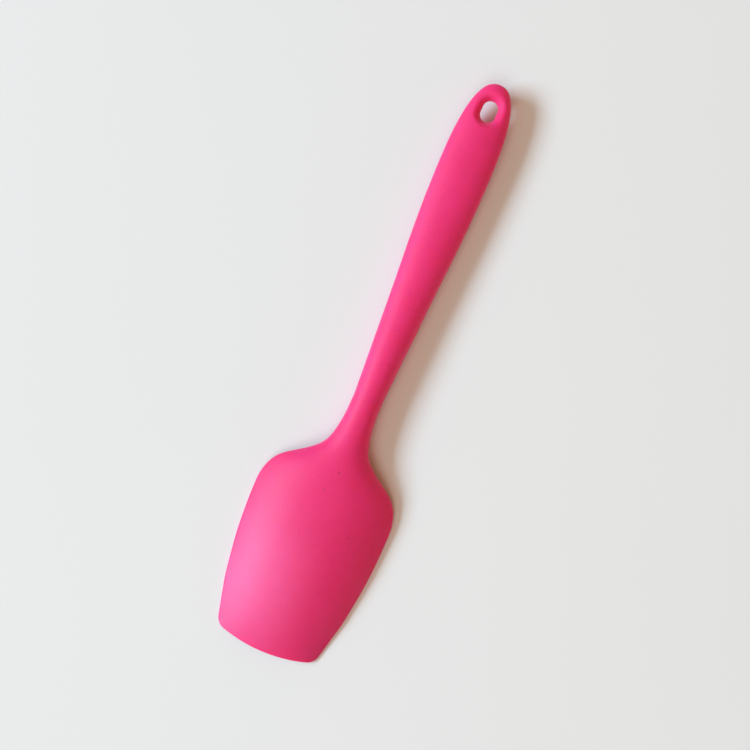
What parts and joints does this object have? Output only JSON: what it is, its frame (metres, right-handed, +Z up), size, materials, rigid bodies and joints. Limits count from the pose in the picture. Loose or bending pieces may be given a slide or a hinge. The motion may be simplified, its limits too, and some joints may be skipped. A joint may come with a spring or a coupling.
{
  "type": "spoon spatula",
  "caption": "Silicone spoon spatula with a shallow hollow blade, a slim oval handle and a slotted hanging hole.",
  "frame": {"origin": "centre of the bounding box at the table, under the middle of the tool, which lies on its hollow side", "axes": "+X along the tool from the blade's tip to the hanging ring, +Y across it, +Z up, square to the table and out of the blade's domed back"},
  "size_m": [0.26, 0.0618, 0.0132],
  "materials": {
    "silicone": "semi-matte, smooth moulded",
    "core": "glass-filled nylon, as moulded"
  },
  "bodies": {
    "root": {"silicone_cover": "silicone", "nylon_core": "core"}
  },
  "joints": []
}
